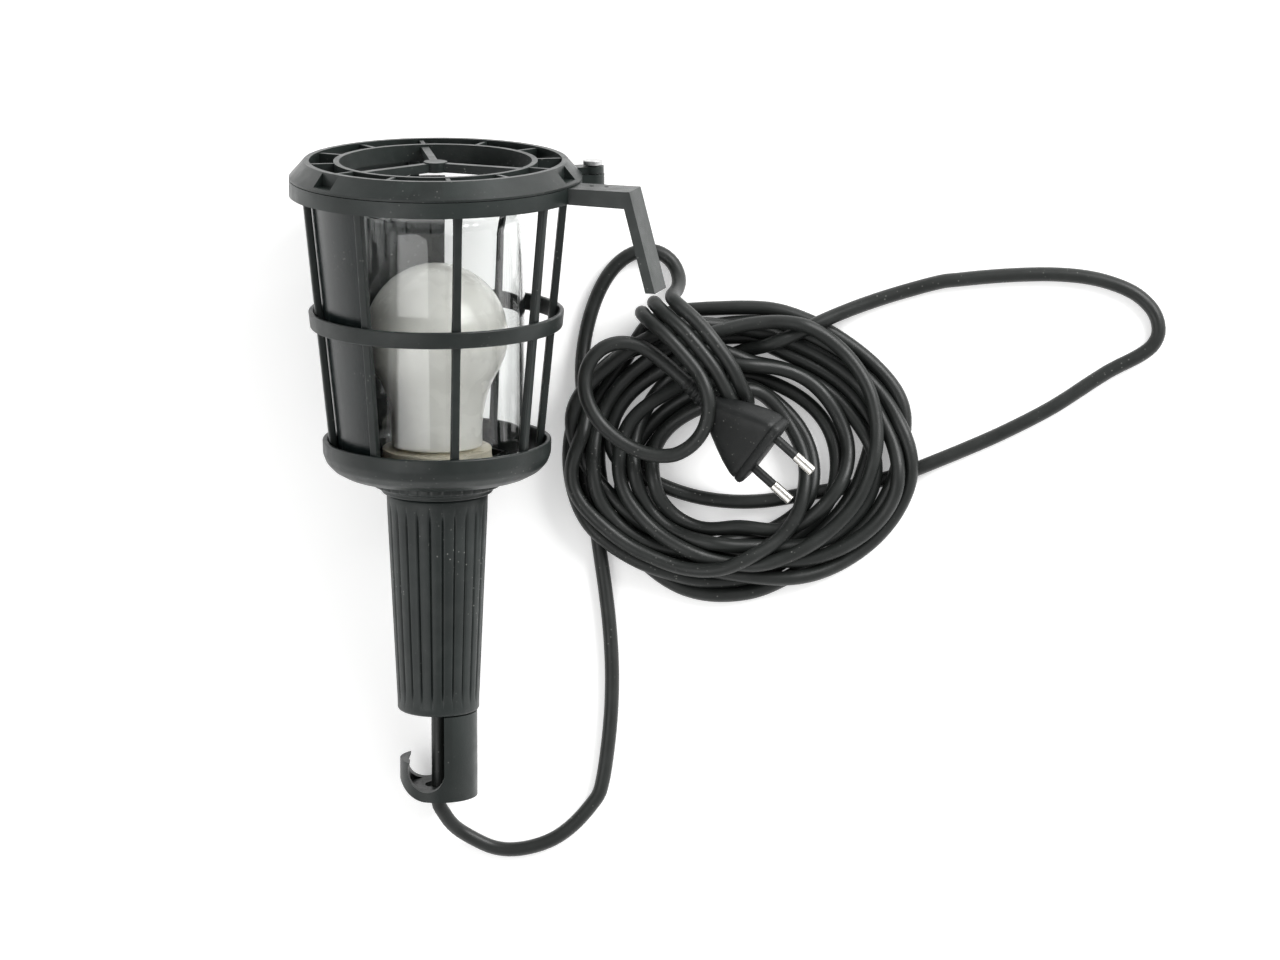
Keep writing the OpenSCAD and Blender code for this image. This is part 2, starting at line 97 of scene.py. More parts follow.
def make_camera():
    """A camera straight above the lamp; the lens gives PIXELS_PER_M at VIEW_AT's height."""
    data = bpy.data.cameras.new("camera")
    data.sensor_width = SENSOR_W
    data.lens = PIXELS_PER_M * VIEW_DISTANCE / IMAGE_W * SENSOR_W
    data.clip_end = 20
    camera = bpy.data.objects.new("camera", data)
    camera.location = VIEW_AT + Vector((0, 0, VIEW_DISTANCE))
    bpy.context.collection.objects.link(camera)
    bpy.context.scene.camera = camera


make_camera()


# ---------------------------------------------------------------- materials

class Nodes:
    """Short names for building a shader."""

    def __init__(self, name):
        self.material = bpy.data.materials.new(name)
        self.material.use_nodes = True
        self.tree = self.material.node_tree
        self.shader = self.tree.nodes["Principled BSDF"]
        self.place = self.tree.nodes.new("ShaderNodeTexCoord").outputs["Object"]

    def link(self, output, target):
        self.tree.links.new(output, target)

    def noise(self, scale, detail=3.0, stretch=None):
        node = self.tree.nodes.new("ShaderNodeTexNoise")
        node.inputs["Scale"].default_value = scale
        node.inputs["Detail"].default_value = detail
        place = self.place
        if stretch:
            mapping = self.tree.nodes.new("ShaderNodeMapping")
            mapping.inputs["Scale"].default_value = stretch
            self.link(self.place, mapping.inputs["Vector"])
            place = mapping.outputs["Vector"]
        self.link(place, node.inputs["Vector"])
        return node.outputs["Fac"]

    def cells(self, scale):
        node = self.tree.nodes.new("ShaderNodeTexVoronoi")
        node.inputs["Scale"].default_value = scale
        self.link(self.place, node.inputs["Vector"])
        return node.outputs["Distance"]

    def spread(self, value, low, high, out_low, out_high):
        node = self.tree.nodes.new("ShaderNodeMapRange")
        for name, number in (("From Min", low), ("From Max", high),
                             ("To Min", out_low), ("To Max", out_high)):
            node.inputs[name].default_value = number
        self.link(value, node.inputs["Value"])
        return node.outputs["Result"]

    def times(self, a, b):
        node = self.tree.nodes.new("ShaderNodeMath")
        node.operation = "MULTIPLY"
        self.link(a, node.inputs[0])
        self.link(b, node.inputs[1])
        return node.outputs[0]

    def blend(self, factor, a, b):
        node = self.tree.nodes.new("ShaderNodeMix")
        node.data_type = "RGBA"
        self.link(factor, node.inputs["Factor"])
        for socket, colour in ((node.inputs[6], a), (node.inputs[7], b)):
            if isinstance(colour, tuple):
                socket.default_value = (*colour, 1)
            else:
                self.link(colour, socket)
        return node.outputs[2]

    def edges(self):
        return self.tree.nodes.new("ShaderNodeNewGeometry").outputs["Pointiness"]

    def bump(self, height, depth, strength=1.0):
        node = self.tree.nodes.new("ShaderNodeBump")
        node.inputs["Strength"].default_value = strength
        node.inputs["Distance"].default_value = depth
        self.link(height, node.inputs["Height"])
        self.link(node.outputs["Normal"], self.shader.inputs["Normal"])

    def set(self, name, value):
        self.shader.inputs[name].default_value = value


def shade(colour, factor):
    return tuple(min(1.0, c * factor) for c in colour)


def moulded(name, colour, rough, dust=0.35, wear=0.25, grain=2600, depth=0.00006):
    """Moulded plastic or rubber: soft colour change, fine grain, pale dust specks, rubbed edges."""
    n = Nodes(name)
    tone = n.blend(n.spread(n.noise(45, 5), 0.3, 0.7, 0, 1), shade(colour, 0.82), shade(colour, 1.22))
    patch = n.spread(n.noise(38, 2), 0.5, 0.66, 0, dust)
    specks = n.times(n.spread(n.cells(420), 0.05, 0.17, 1, 0), patch)
    tone = n.blend(specks, tone, (0.46, 0.46, 0.43))
    film = n.spread(n.noise(120, 6), 0.45, 0.8, 0, 0.06 * dust)
    tone = n.blend(film, tone, (0.4, 0.41, 0.4))
    tone = n.blend(n.spread(n.edges(), 0.52, 0.62, 0, wear), tone, shade(colour, 2.4))
    n.link(tone, n.shader.inputs["Base Color"])
    gloss = n.spread(n.noise(160, 5), 0.25, 0.75, rough - 0.07, rough + 0.09)
    n.link(gloss, n.shader.inputs["Roughness"])
    n.bump(n.noise(grain, 3), depth)
    n.set("Specular IOR Level", 0.36)
    return n.material


def metal(name, colour, rough):
    """Bare metal: soft colour change, a blotchy gloss and a fine grain."""
    n = Nodes(name)
    tone = n.blend(n.spread(n.noise(220, 5), 0.3, 0.7, 0, 1), shade(colour, 0.8), shade(colour, 1.08))
    n.link(tone, n.shader.inputs["Base Color"])
    gloss = n.spread(n.noise(700, 4), 0.3, 0.7, rough * 0.7, rough * 1.5)
    n.link(gloss, n.shader.inputs["Roughness"])
    n.bump(n.noise(1500, 3), 0.00002)
    n.set("Metallic", 1.0)
    return n.material


def opal(name, colour):
    """Opal glass: even, slightly warm, with a soft gloss and a few dust marks."""
    n = Nodes(name)
    tone = n.blend(n.spread(n.noise(30, 4), 0.3, 0.7, 0, 1), shade(colour, 0.95), shade(colour, 1.03))
    specks = n.times(n.spread(n.cells(300), 0.04, 0.12, 1, 0), n.spread(n.noise(50), 0.52, 0.66, 0, 0.35))
    n.link(n.blend(specks, tone, (0.45, 0.44, 0.4)), n.shader.inputs["Base Color"])
    n.link(n.spread(n.noise(90, 3), 0.3, 0.7, 0.2, 0.32), n.shader.inputs["Roughness"])
    n.bump(n.noise(500, 2), 0.00002)
    n.set("Coat Weight", 0.3)
    return n.material


def clear(name, colour):
    """Clear glass with a faint tint, a few streaks in its gloss and a slightly wavy face."""
    n = Nodes(name)
    tint = n.blend(n.spread(n.noise(60, 4), 0.3, 0.7, 0, 1), shade(colour, 0.97), colour)
    n.link(tint, n.shader.inputs["Base Color"])
    n.link(n.spread(n.noise(80, 5, (1, 1, 0.3)), 0.4, 0.75, 0.0, 0.05), n.shader.inputs["Roughness"])
    n.bump(n.noise(35, 2), 0.0002, 0.35)
    n.set("Transmission Weight", 1.0)
    n.set("IOR", 1.47)
    return n.material


MATERIALS = {
    "grip_plastic": moulded("grip_plastic", (0.0115, 0.0155, 0.0145), 0.42, dust=0.4, wear=0.3),
    "housing_plastic": moulded("housing_plastic", (0.0085, 0.0118, 0.0108), 0.38, dust=0.25, wear=0.3),
    "inner_plastic": moulded("inner_plastic", (0.52, 0.5, 0.43), 0.5, dust=0.1, wear=0.1),
    "holder_plastic": moulded("holder_plastic", (0.78, 0.72, 0.58), 0.3, dust=0.1, wear=0.1),
    "contact_brass": metal("contact_brass", (0.75, 0.58, 0.3), 0.3),
    "screw_steel": metal("screw_steel", (0.56, 0.56, 0.56), 0.32),
    "bulb_opal": opal("bulb_opal", (0.93, 0.92, 0.86)),
    "cap_metal": metal("cap_metal", (0.74, 0.73, 0.72), 0.28),
    "clear_glass": clear("clear_glass", (0.975, 0.985, 0.98)),
    "gasket_rubber": moulded("gasket_rubber", (0.012, 0.012, 0.012), 0.7, dust=0.3, wear=0.1),
    "shield_plastic": moulded("shield_plastic", (0.0055, 0.0085, 0.0085), 0.16, dust=0.2, wear=0.3),
    "cord_rubber": moulded("cord_rubber", (0.0115, 0.0132, 0.0122), 0.4, dust=0.3, wear=0.0, grain=1800),
    "plug_rubber": moulded("plug_rubber", (0.0058, 0.0068, 0.0066), 0.45, dust=0.25, wear=0.3),
    "pin_metal": metal("pin_metal", (0.72, 0.7, 0.66), 0.2),
    "wire_sheath": moulded("wire_sheath", (0.2, 0.09, 0.035), 0.45, dust=0.05, wear=0.0),
}

SLOT_OF = {part["node"]: part["material_slot"] for part in record["subparts"]}


def paint(obj, slot):
    obj.data.materials.clear()
    obj.data.materials.append(MATERIALS[slot])


for node_name, node in nodes.items():
    paint(node, SLOT_OF[node_name])


# ---------------------------------------------------------------- mesh help

def soften(mesh, angle=35):
    """Smooth faces, with edges sharper than the angle kept crisp."""
    work = bmesh.new()
    work.from_mesh(mesh)
    limit = math.radians(angle)
    for face in work.faces:
        face.smooth = True
    for edge in work.edges:
        edge.smooth = len(edge.link_faces) == 2 and edge.calc_face_angle(0) < limit
    work.to_mesh(mesh)
    work.free()


def add_piece(name, mesh, body, slot, replaced=(), smooth=35):
    obj = bpy.data.objects.new(name, mesh)
    bpy.context.collection.objects.link(obj)
    soften(mesh, smooth)
    paint(obj, slot)
    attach(obj, body)
    if replaced:
        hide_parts(*replaced)
    return obj


def mesh_from(name, points, faces, matrix):
    mesh = bpy.data.meshes.new(name)
    mesh.from_pydata([matrix @ Vector(p) for p in points], [], faces)
    work = bmesh.new()
    work.from_mesh(mesh)
    bmesh.ops.recalc_face_normals(work, faces=work.faces)
    work.to_mesh(mesh)
    work.free()
    return mesh


def grid_faces(rows, columns, wrap_rows=False):
    """Quads between closed rings of points."""
    faces = []
    for r in range(rows if wrap_rows else rows - 1):
        low, high = r * columns, (r + 1) % rows * columns
        for c in range(columns):
            d = (c + 1) % columns
            faces.append((low + c, low + d, high + d, high + c))
    return faces


def rounded(outline, radius, steps=4):
    """A closed outline of (r, s) points with its corners rounded off."""
    result = []
    count = len(outline)
    for i in range(count):
        before, here, after = (Vector(outline[(i + k) % count]) for k in (-1, 0, 1))
        into, out = before - here, after - here
        cut = min(radius, 0.45 * into.length, 0.45 * out.length)
        start, end = here + into.normalized() * cut, here + out.normalized() * cut
        for k in range(steps + 1):
            t = k / steps
            result.append(start * (1 - t) ** 2 + here * 2 * t * (1 - t) + end * t ** 2)
    return result


def turned(name, outline, segments=160, shape=None):
    """A ring turned round the lamp's axis from a closed outline that stays off the axis."""
    points = []
    for r, s in outline:
        for k in range(segments):
            a = 2 * math.pi * k / segments
            radius = shape(r, s, a) if shape else r
            points.append((radius * math.sin(a), -radius * math.cos(a), s))
    return mesh_from(name, points, grid_faces(len(outline), segments, wrap_rows=True), LAMP)


def bevelled_copy(node_name, body, width):
    """The CAD node's shape in a new object, with its edges rounded."""
    mesh = nodes[node_name].data.copy()
    work = bmesh.new()
    work.from_mesh(mesh)
    bmesh.ops.remove_doubles(work, verts=work.verts, dist=2e-6)
    bmesh.ops.dissolve_limit(work, angle_limit=math.radians(0.8), verts=work.verts, edges=work.edges)
    work.to_mesh(mesh)
    work.free()
    obj = add_piece(node_name + "_moulding", mesh, body, SLOT_OF[node_name], [node_name])
    bevel = obj.modifiers.new("edges", "BEVEL")
    bevel.width = width * MM
    bevel.segments = 3
    bevel.limit_method = "ANGLE"
    bevel.angle_limit = math.radians(32)
    bevel.harden_normals = True
    return obj


# ---------------------------------------------------------------- lead

CORD_D = 5.6
CORD_R = CORD_D / 2
EXIT_S = 61.0                        # where the lead leaves its clamp inside the grip
ON_SURFACE = 2.9
DROP = [(-14.8, -132, 12.4), (-12, -136.5, 9.2), (-7, -141, 5.4)]
LEAD = [
    (3.5, -146.5), (11.3, -147.8), (19.5, -146.8), (28, -143.8), (35.5, -138.6), (42.3, -131.3),
    (48, -122.8), (52.3, -112.4), (54.6, -96.8), (54.2, -81.2), (52.3, -65.7), (50.3, -50.3),
    (48.6, -37.8), (46, -24), (41, -12),
]
ARC = [
    (104, 41, 19), (113, 50, 18), (124.4, 58, 14), (136, 63.3, 9.5), (147.7, 67.5, 6),
    (159, 70.5, 4), (171, 72.5, 2.9), (182.8, 73.7, 2.9), (202.3, 75.5, 2.9), (221.8, 76.1, 2.9),
    (237.4, 74.7, 2.9), (249.5, 71.2, 2.9), (257, 67, 2.9), (262.3, 61, 2.9), (264, 53.8, 2.9),
    (260.9, 47.6, 2.9), (254, 43.2, 2.9), (245.6, 39, 2.9), (237.4, 33.9, 2.9),
    (221.8, 23.9, 2.9), (202.3, 14, 2.9), (182.8, 5.6, 2.9), (172, 1.5, 3.5), (162, -1, 5),
]
UNDER_PLUG = [(147, -9.5, 7), (131, -13, 8), (114, -15, 8), (96, -15, 9), (78, -12.5, 13), (60, -7, 18)]
LOOP = [
    (35.5, 14, 18), (36.5, 24, 14), (37.5, 34, 11), (38.8, 44, 8), (40, 54, 5), (41.5, 66, 3.2),
    (48, 79, 2.9), (57.5, 88, 2.9), (67, 90, 2.9), (75.5, 84.5, 2.9), (79.5, 74, 5), (78, 65, 11),
]

# Loose oval turns: centre x, centre y, half width, half height, slant
FIRST_TURNS = [
    (99, 4.6, 74, 56, 2), (98, 7.6, 62, 47, 7), (100, 3.6, 73, 57, -4), (97, 1.6, 49, 37, 4),
    (101, 6.6, 70, 51, -7), (96, 0.6, 39, 33, 3), (99, 8.6, 62, 54, 6), (99, 1.6, 51, 38, -4),
    (98, 4.6, 39, 34, 0),
]
LAST_TURNS = [
    (98, 2.6, 62, 46, 0), (100, 5.6, 50, 40, 6), (96, 0, 37, 32, 0), (99, 1.6, 73, 52, -4),
    (97, 7.6, 62, 46, 0),
]

# The lead's end is wound twice round one side of the coil, then makes a small loop back to the plug
WRAP_AT = (83.6, 43.8, 16.5)
WRAP_ALONG = (0.64, -0.767, 0)
WRAP_ACROSS = (0.767, 0.64, 0)
WRAP_REACH = 26.5
WRAP_H = 13.5
WRAP_DRIFT = 13.4
WRAP_BULGE = 3.5
WRAP_TURNS = 2.18
WRAP_START = 150
SMALL_LOOP = [
    (87, 32, 31.5), (88.5, 24.5, 31), (87, 16.5, 28.5), (82, 9.5, 26), (74, 5.5, 24.5),
    (63.5, 6.5, 24), (53, 12, 24), (44.8, 20.5, 24.3), (40.8, 30.5, 24.3), (42, 40.5, 24),
    (48.5, 47.5, 23.5), (57.5, 49, 22.5), (65.5, 45.8, 22),
]
SETTLE_STEP = 5.0
LINE_STEP = 2.0
COIL_END_X = 176                     # beyond this the lead lies free of the coil
HELD_START = 150                     # the lead's first stretch keeps its place
PLUG_AT = (110.4, 6.3, 28)
PLUG_TURN = -42
PLUG_ROLL = 42
PLUG_RISE = 6
PLUG_LEN = 28.0
PLUG = (
    Matrix.Scale(MM, 4) @ Matrix.Translation(PLUG_AT) @ Matrix.Rotation(math.radians(PLUG_TURN), 4, "Z")
    @ Matrix.Rotation(math.radians(-PLUG_RISE), 4, "Y") @ Matrix.Rotation(math.radians(PLUG_ROLL), 4, "X")
)


def smooth_line(points, step):
    """A Catmull-Rom curve through the points, resampled at even steps."""
    p = np.array(points, float)
    p = np.vstack([2 * p[0] - p[1], p, 2 * p[-1] - p[-2]])
    t = np.linspace(0, 1, 24, endpoint=False)[:, None]
    fine = [0.5 * (2 * b + (c - a) * t + (2 * a - 5 * b + 4 * c - d) * t**2
                   + (3 * b - a - 3 * c + d) * t**3)
            for a, b, c, d in zip(p, p[1:], p[2:], p[3:])]
    fine = np.vstack(fine + [p[-2:-1]])
    run = np.concatenate([[0], np.cumsum(np.linalg.norm(np.diff(fine, axis=0), axis=1))])
    at = np.linspace(0, run[-1], max(2, round(run[-1] / step) + 1))
    return np.stack([np.interp(at, run, fine[:, i]) for i in range(3)], axis=1)


def oval_turns(ovals, start, end, heights, per_turn=16):
    """Points of clockwise oval turns that change from one oval to the next."""
    count = round((start - end) / 360 * per_turn)
    points = []
    for k in range(count + 1):
        angle = start + (end - start) * k / count
        turn = (start - angle) / 360
        i = min(int(turn), len(ovals) - 2)
        f = max(0, 2 * min(turn - i, 1) - 1)
        f = f * f * (3 - 2 * f)
        cx, cy, w, h, slant = (1 - f) * np.array(ovals[i], float) + f * np.array(ovals[i + 1], float)
        c, s = math.cos(math.radians(angle)), math.sin(math.radians(angle))
        rise = (heights[1] - heights[0]) * k / count
        points.append((cx + w * c, cy + h * s + slant * c, heights[0] + rise))
    return points


def wrap_points(per_turn=14):
    """Turns round the side of the coil, in an upright plane that drifts sideways."""
    count = round(WRAP_TURNS * per_turn)
    at, along, across = (np.array(v, float) for v in (WRAP_AT, WRAP_ALONG, WRAP_ACROSS))
    points = []
    for k in range(count + 1):
        angle = math.radians(WRAP_START - 360 * WRAP_TURNS * k / count)
        c, s = (math.copysign(abs(v) ** 0.8, v) for v in (math.cos(angle), math.sin(angle)))
        drift = WRAP_DRIFT * (0.5 - k / count) + WRAP_BULGE * (1 - c * c) * s
        points.append(tuple(at + along * WRAP_REACH * c + across * drift + np.array((0, 0, WRAP_H * s))))
    return points


def behind_plug(distance):
    """A point on the plug's own axis, a distance behind its rear, in millimetres."""
    return tuple(PLUG @ Vector((-PLUG_LEN - distance, 0, 0)) / MM)


def lead_route():
    """The lead's points from clamp to plug: before the wraps, in them and after them."""
    inside = [on_axis(s) for s in (EXIT_S, 50, 40, 30, 20, 10, 0, -5)]
    lying = [(x, y, ON_SURFACE) for x, y in LEAD]
    first = oval_turns(FIRST_TURNS, 175, -7 * 360 + 110, (4, 22))
    last = oval_turns(LAST_TURNS, 185, -3 * 360 + 185, (18, 25))
    into_plug = [behind_plug(d) for d in (22, 12, 3, -3)]
    before = inside + DROP + lying + first[1:] + ARC + UNDER_PLUG + last[1:] + LOOP
    return before, wrap_points(), SMALL_LOOP + into_plug


def settle(line, fixed, rounds, stiff, hold, fall):
    """Lets the lead sink and its turns push apart, keeping its length."""
    p = line.copy()
    free = np.where(fixed, 0.0, 1.0)[:, None]
    skip = math.ceil(1.9 * CORD_D / SETTLE_STEP)     # neighbours along the lead don't push apart
    apart = CORD_D + 0.05
    for turn in range(rounds):
        if turn % 5 == 0:                            # only near pairs are followed between these turns
            square = ((p[:, None, :] - p[None, :, :]) ** 2).sum(-1)
            i, j = np.nonzero(np.triu(square < (1.8 * apart) ** 2, skip + 1))
        p[:, 2:] -= fall * free
        p[:, :2] += (line[:, :2] - p[:, :2]) * hold * free
        for _ in range(4):
            bend = (p[:-2] + p[2:]) / 2 - p[1:-1]
            p[1:-1] += stiff * bend * free[1:-1]
            p[:-2] -= stiff * 0.25 * bend * free[:-2]
            p[2:] -= stiff * 0.25 * bend * free[2:]
            gap = p[1:] - p[:-1]
            size = np.linalg.norm(gap, axis=1)[:, None]
            pull = (size - SETTLE_STEP) / size * gap * 0.45
            p[:-1] += pull * free[:-1]
            p[1:] -= pull * free[1:]
            gap = p[i] - p[j]
            size = np.linalg.norm(gap, axis=1)[:, None] + 1e-6
            push = np.maximum(apart - size, 0) * gap / size * 0.5
            move = np.zeros_like(p)
            count = np.zeros((len(p), 1))
            np.add.at(move, i, push * free[i])
            np.add.at(move, j, -push * free[j])
            np.add.at(count, i, size < apart)
            np.add.at(count, j, size < apart)
            p += move / np.maximum(count, 1) * 1.6
            p[:, 2:] = np.where(free > 0, np.maximum(p[:, 2:], CORD_R + 0.1), p[:, 2:])
    return p


def settled_lead():
    """The lead's centre line at even steps, settled where it lies in the coil."""
    before, wrap, after = lead_route()
    line = smooth_line(before + wrap + after, SETTLE_STEP)
    to_wrap = len(smooth_line(before + wrap[:1], SETTLE_STEP))
    fixed = line[:, 0] > COIL_END_X
    fixed[:int(HELD_START / SETTLE_STEP)] = True
    fixed[to_wrap:] = True
    line = settle(line, fixed, 150, stiff=0.25, hold=0.03, fall=0.12)
    line = settle(line, fixed, 60, stiff=0.3, hold=0.0, fall=0.05)
    return smooth_line(line, LINE_STEP)


def make_lead():
    """The round lead as a bevelled curve, and its length in metres."""
    line = settled_lead() * MM
    curve = bpy.data.curves.new("lead", "CURVE")
    curve.dimensions = "3D"
    curve.bevel_depth = CORD_R * MM
    curve.bevel_resolution = 5
    curve.use_fill_caps = True
    spline = curve.splines.new("POLY")
    spline.points.add(len(line) - 1)
    spline.points.foreach_set("co", np.hstack([line, np.ones((len(line), 1))]).ravel())
    spline.use_smooth = True
    lead = bpy.data.objects.new("lead", curve)
    bpy.context.collection.objects.link(lead)
    curve.materials.append(MATERIALS["cord_rubber"])
    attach(lead, "lamp")
    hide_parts("cord_lead", "cord_coil", "cord_arc", "cord_loop")
    length = float(np.linalg.norm(np.diff(line, axis=0), axis=1).sum())
    return lead, length


lead, lead_length = make_lead()


# ---------------------------------------------------------------- plug

PLUG_T = 13.7
PLUG_HALF_W = 17.2
BOOT_LEN = 13.0                      # tapered sleeve behind the plug
BOOT_RIBS = 5
PLUG_COLUMNS = 72


def plug_section(x):
    """Half width, half thickness and squareness of the plug at a distance behind its face."""
    stops = [
        (0, PLUG_HALF_W - 1.4, PLUG_T / 2 - 1.2, 4.5), (0.5, PLUG_HALF_W - 0.4, PLUG_T / 2 - 0.3, 4.5),
        (1.4, PLUG_HALF_W, PLUG_T / 2, 4.5), (6, 16.4, PLUG_T / 2, 4.5), (11, 14.4, PLUG_T / 2, 4),
        (16, 11.8, PLUG_T / 2 - 0.3, 3.5), (21, 9, PLUG_T / 2 - 0.9, 3), (25, 6.9, 5.2, 2.6),
        (PLUG_LEN, 5.2, 4.5, 2.2), (PLUG_LEN + 1, 4.4, 4.1, 2), (PLUG_LEN + BOOT_LEN, 3.3, 3.3, 2),
    ]
    places = [stop[0] for stop in stops]
    return [float(np.interp(x, places, [stop[k] for stop in stops])) for k in (1, 2, 3)]


def plug_ring(x, shrink=0.0):
    half_w, half_t, square = plug_section(x)
    points = []
    for k in range(PLUG_COLUMNS):
        a = 2 * math.pi * k / PLUG_COLUMNS
        c, s = math.cos(a), math.sin(a)
        y = math.copysign(abs(c) ** (2 / square), c) * (half_w - shrink)
        z = math.copysign(abs(s) ** (2 / square), s) * (half_t - shrink)
        points.append((-x, y, z))
    return points


def make_plug():
    places = [0, 0.25, 0.5, 0.9, 1.4, 3, 3.3, 3.5, 3.7, 4, 6, 8.5, 11, 13.5, 16, 18.5, 21, 23, 25, 26.5, 27.5,
              PLUG_LEN, PLUG_LEN + 0.5]
    seam = {3.3: 0.25, 3.5: 0.35, 3.7: 0.25}
    rings = [plug_ring(x, seam.get(x, 0)) for x in places]
    per_rib = 8
    for k in range(BOOT_RIBS * per_rib + 1):
        x = PLUG_LEN + 1 + (BOOT_LEN - 1) * k / (BOOT_RIBS * per_rib)
        rings.append(plug_ring(x, 0.45 * (0.5 - 0.5 * math.cos(2 * math.pi * k / per_rib))))
    columns = PLUG_COLUMNS
    points = [p for ring in rings for p in ring]
    faces = grid_faces(len(rings), columns)
    centre = len(points)
    points += [(0, 0, 0), (-PLUG_LEN - BOOT_LEN, 0, 0)]
    last = (len(rings) - 1) * columns
    for k in range(columns):
        n = (k + 1) % columns
        faces += [(k, n, centre), (last + k, last + n, centre + 1)]
    mesh = mesh_from("plug", points, faces, PLUG)
    return add_piece("plug", mesh, "lamp", "plug_rubber", ["plug_body"], 50)


plug = make_plug()
pins = bevelled_copy("plug_pins", "lamp", 0.7)
sleeves = bevelled_copy("pin_sleeves", "lamp", 0.15)


# ---------------------------------------------------------------- grip

GROOVES = 24
GROOVE_DEPTH = 0.8
BORE_R = 17.2
TAIL_BORE_R = 14.2
NOTCHES = 36
NOTCH_DEPTH = 0.28


def make_grip():
    """The grip; rings with a radius of 0 in the outline take theirs from the grooved surface."""
    outside = [(0, TAIL_LEN + 1.2 + (GRIP_LEN - 2.2) * k / 40) for k in range(41)]
    foot, head = TAIL_LEN + 5, NECK_S - 2

    def body_r(s):
        straight = GRIP_END_R + (GRIP_TOP_R - GRIP_END_R) * max(0, s - foot) / (head - foot)
        return min(straight, GRIP_TOP_R)

    def grooved(r, s, a):
        if r:
            return r
        fade = min(1, max(0, (s - TAIL_LEN - 4) / 5)) * min(1, max(0, (NECK_S - 4 - s) / 4))
        turn = (a * GROOVES / (2 * math.pi)) % 1 - 0.5
        groove = math.exp(-(turn / 0.08) ** 2)
        crown = 0.06 * math.cos(2 * math.pi * turn)
        return body_r(s) - fade * (GROOVE_DEPTH * groove + crown)

    top_r, end_r = GRIP_TOP_R, GRIP_END_R
    outline = (
        [(TAIL_BORE_R, TAIL_LEN + 0.3), (end_r - 1.1, TAIL_LEN + 0.05), (end_r - 0.4, TAIL_LEN + 0.45)]
        + outside
        + [(top_r - 0.35, NECK_S - 0.5), (top_r - 1, NECK_S - 0.1), (BORE_R, NECK_S - 0.2),
           (BORE_R, NECK_S - 6), (TAIL_BORE_R, TAIL_LEN + 6)]
    )
    mesh = turned("grip_ribbed", outline, GROOVES * 20, grooved)
    add_piece("grip_ribbed", mesh, "lamp", "grip_plastic", ["grip"], 50)


def make_collar():
    low = NECK_S + 0.2
    outline = rounded([
        (17, low), (21.5, low), (21.5, low + 1.8), (25, low + 2.9), (25, low + 5.2), (23.8, low + 5.75),
        (17, low + 5.75),
    ], 0.7)

    def notched(r, s, a):
        if r < 22.5 or s < low + 2.2:
            return r
        turn = (a * NOTCHES / (2 * math.pi)) % 1 - 0.5
        return r - NOTCH_DEPTH * math.exp(-(turn / 0.12) ** 2)

    mesh = turned("collar_notched", outline, NOTCHES * 12, notched)
    add_piece("collar_notched", mesh, "lamp", "housing_plastic", ["collar_nut"], 50)


make_grip()
make_collar()


# ---------------------------------------------------------------- cage

BAR_FOOT_S = FLOOR_S + 10.2
BAR_HEAD_S = TOP_S - 2
BAR_FOOT_R = CUP_R - 2.7
BAR_HEAD_R = RING_R - 4.2
BAR_W = 3.2
BAR_D = 2.8
BAR_GAP = 0.15                       # between the bars and the rings round them
BAR_COUNT = 8
FIRST_BAR = 11
MID_S = FLOOR_S + 62
MID_RING_H = 6.4
MID_RING_D = 2.0


def bar_face(s):
    """Inside radius of a ring that lies against the bars."""
    rise = (BAR_HEAD_R - BAR_FOOT_R) / (BAR_HEAD_S - BAR_FOOT_S)
    return BAR_FOOT_R + (s - BAR_FOOT_S) * rise + BAR_GAP


def bar_ring(turn, s, corner=0.55, steps=4):
    """A rounded rectangle across a bar, in the lamp frame."""
    a = math.radians(turn)
    out, side = Vector((math.sin(a), -math.cos(a), 0)), Vector((math.cos(a), math.sin(a), 0))
    outer = bar_face(s) - BAR_GAP
    flare = 0.45 * math.exp(-((s - MID_S) / 5) ** 2) + 0.8 * math.exp(-((s - BAR_HEAD_S) / 5) ** 2)
    half_w, half_d = (BAR_W + flare) / 2, BAR_D / 2
    points = []
    for sx, sy, start in ((1, 1, 0), (-1, 1, 90), (-1, -1, 180), (1, -1, 270)):
        for k in range(steps + 1):
            b = math.radians(start + 90 * k / steps)
            x = sx * (half_d - corner) + corner * math.cos(b)
            y = sy * (half_w - corner) + corner * math.sin(b)
            points.append(out * (outer - half_d + x) + side * y + Vector((0, 0, s)))
    return points


def make_bars():
    points, faces = [], []
    heights = np.linspace(BAR_FOOT_S, BAR_HEAD_S, 48)
    for i in range(BAR_COUNT):
        base = len(points)
        rings = [bar_ring(FIRST_BAR + i * 360 / BAR_COUNT, s) for s in heights]
        columns = len(rings[0])
        points += [p for ring in rings for p in ring]
        faces += [tuple(base + v for v in face) for face in grid_faces(len(rings), columns)]
        faces.append(tuple(range(base, base + columns)))
        top = base + (len(rings) - 1) * columns
        faces.append(tuple(range(top, top + columns)))
    mesh = mesh_from("cage_bars_rounded", points, faces, LAMP)
    add_piece("cage_bars_rounded", mesh, "lamp", "housing_plastic", ["cage_bars"], 40)


def make_mid_ring():
    low, high = MID_S - MID_RING_H / 2, MID_S + MID_RING_H / 2
    outline = rounded([
        (bar_face(low), low), (bar_face(low) + MID_RING_D, low), (bar_face(high) + MID_RING_D, high),
        (bar_face(high), high),
    ], 0.7)
    mesh = turned("cage_mid_ring_rounded", outline, 192)
    add_piece("cage_mid_ring_rounded", mesh, "lamp", "housing_plastic", ["cage_mid_ring"])


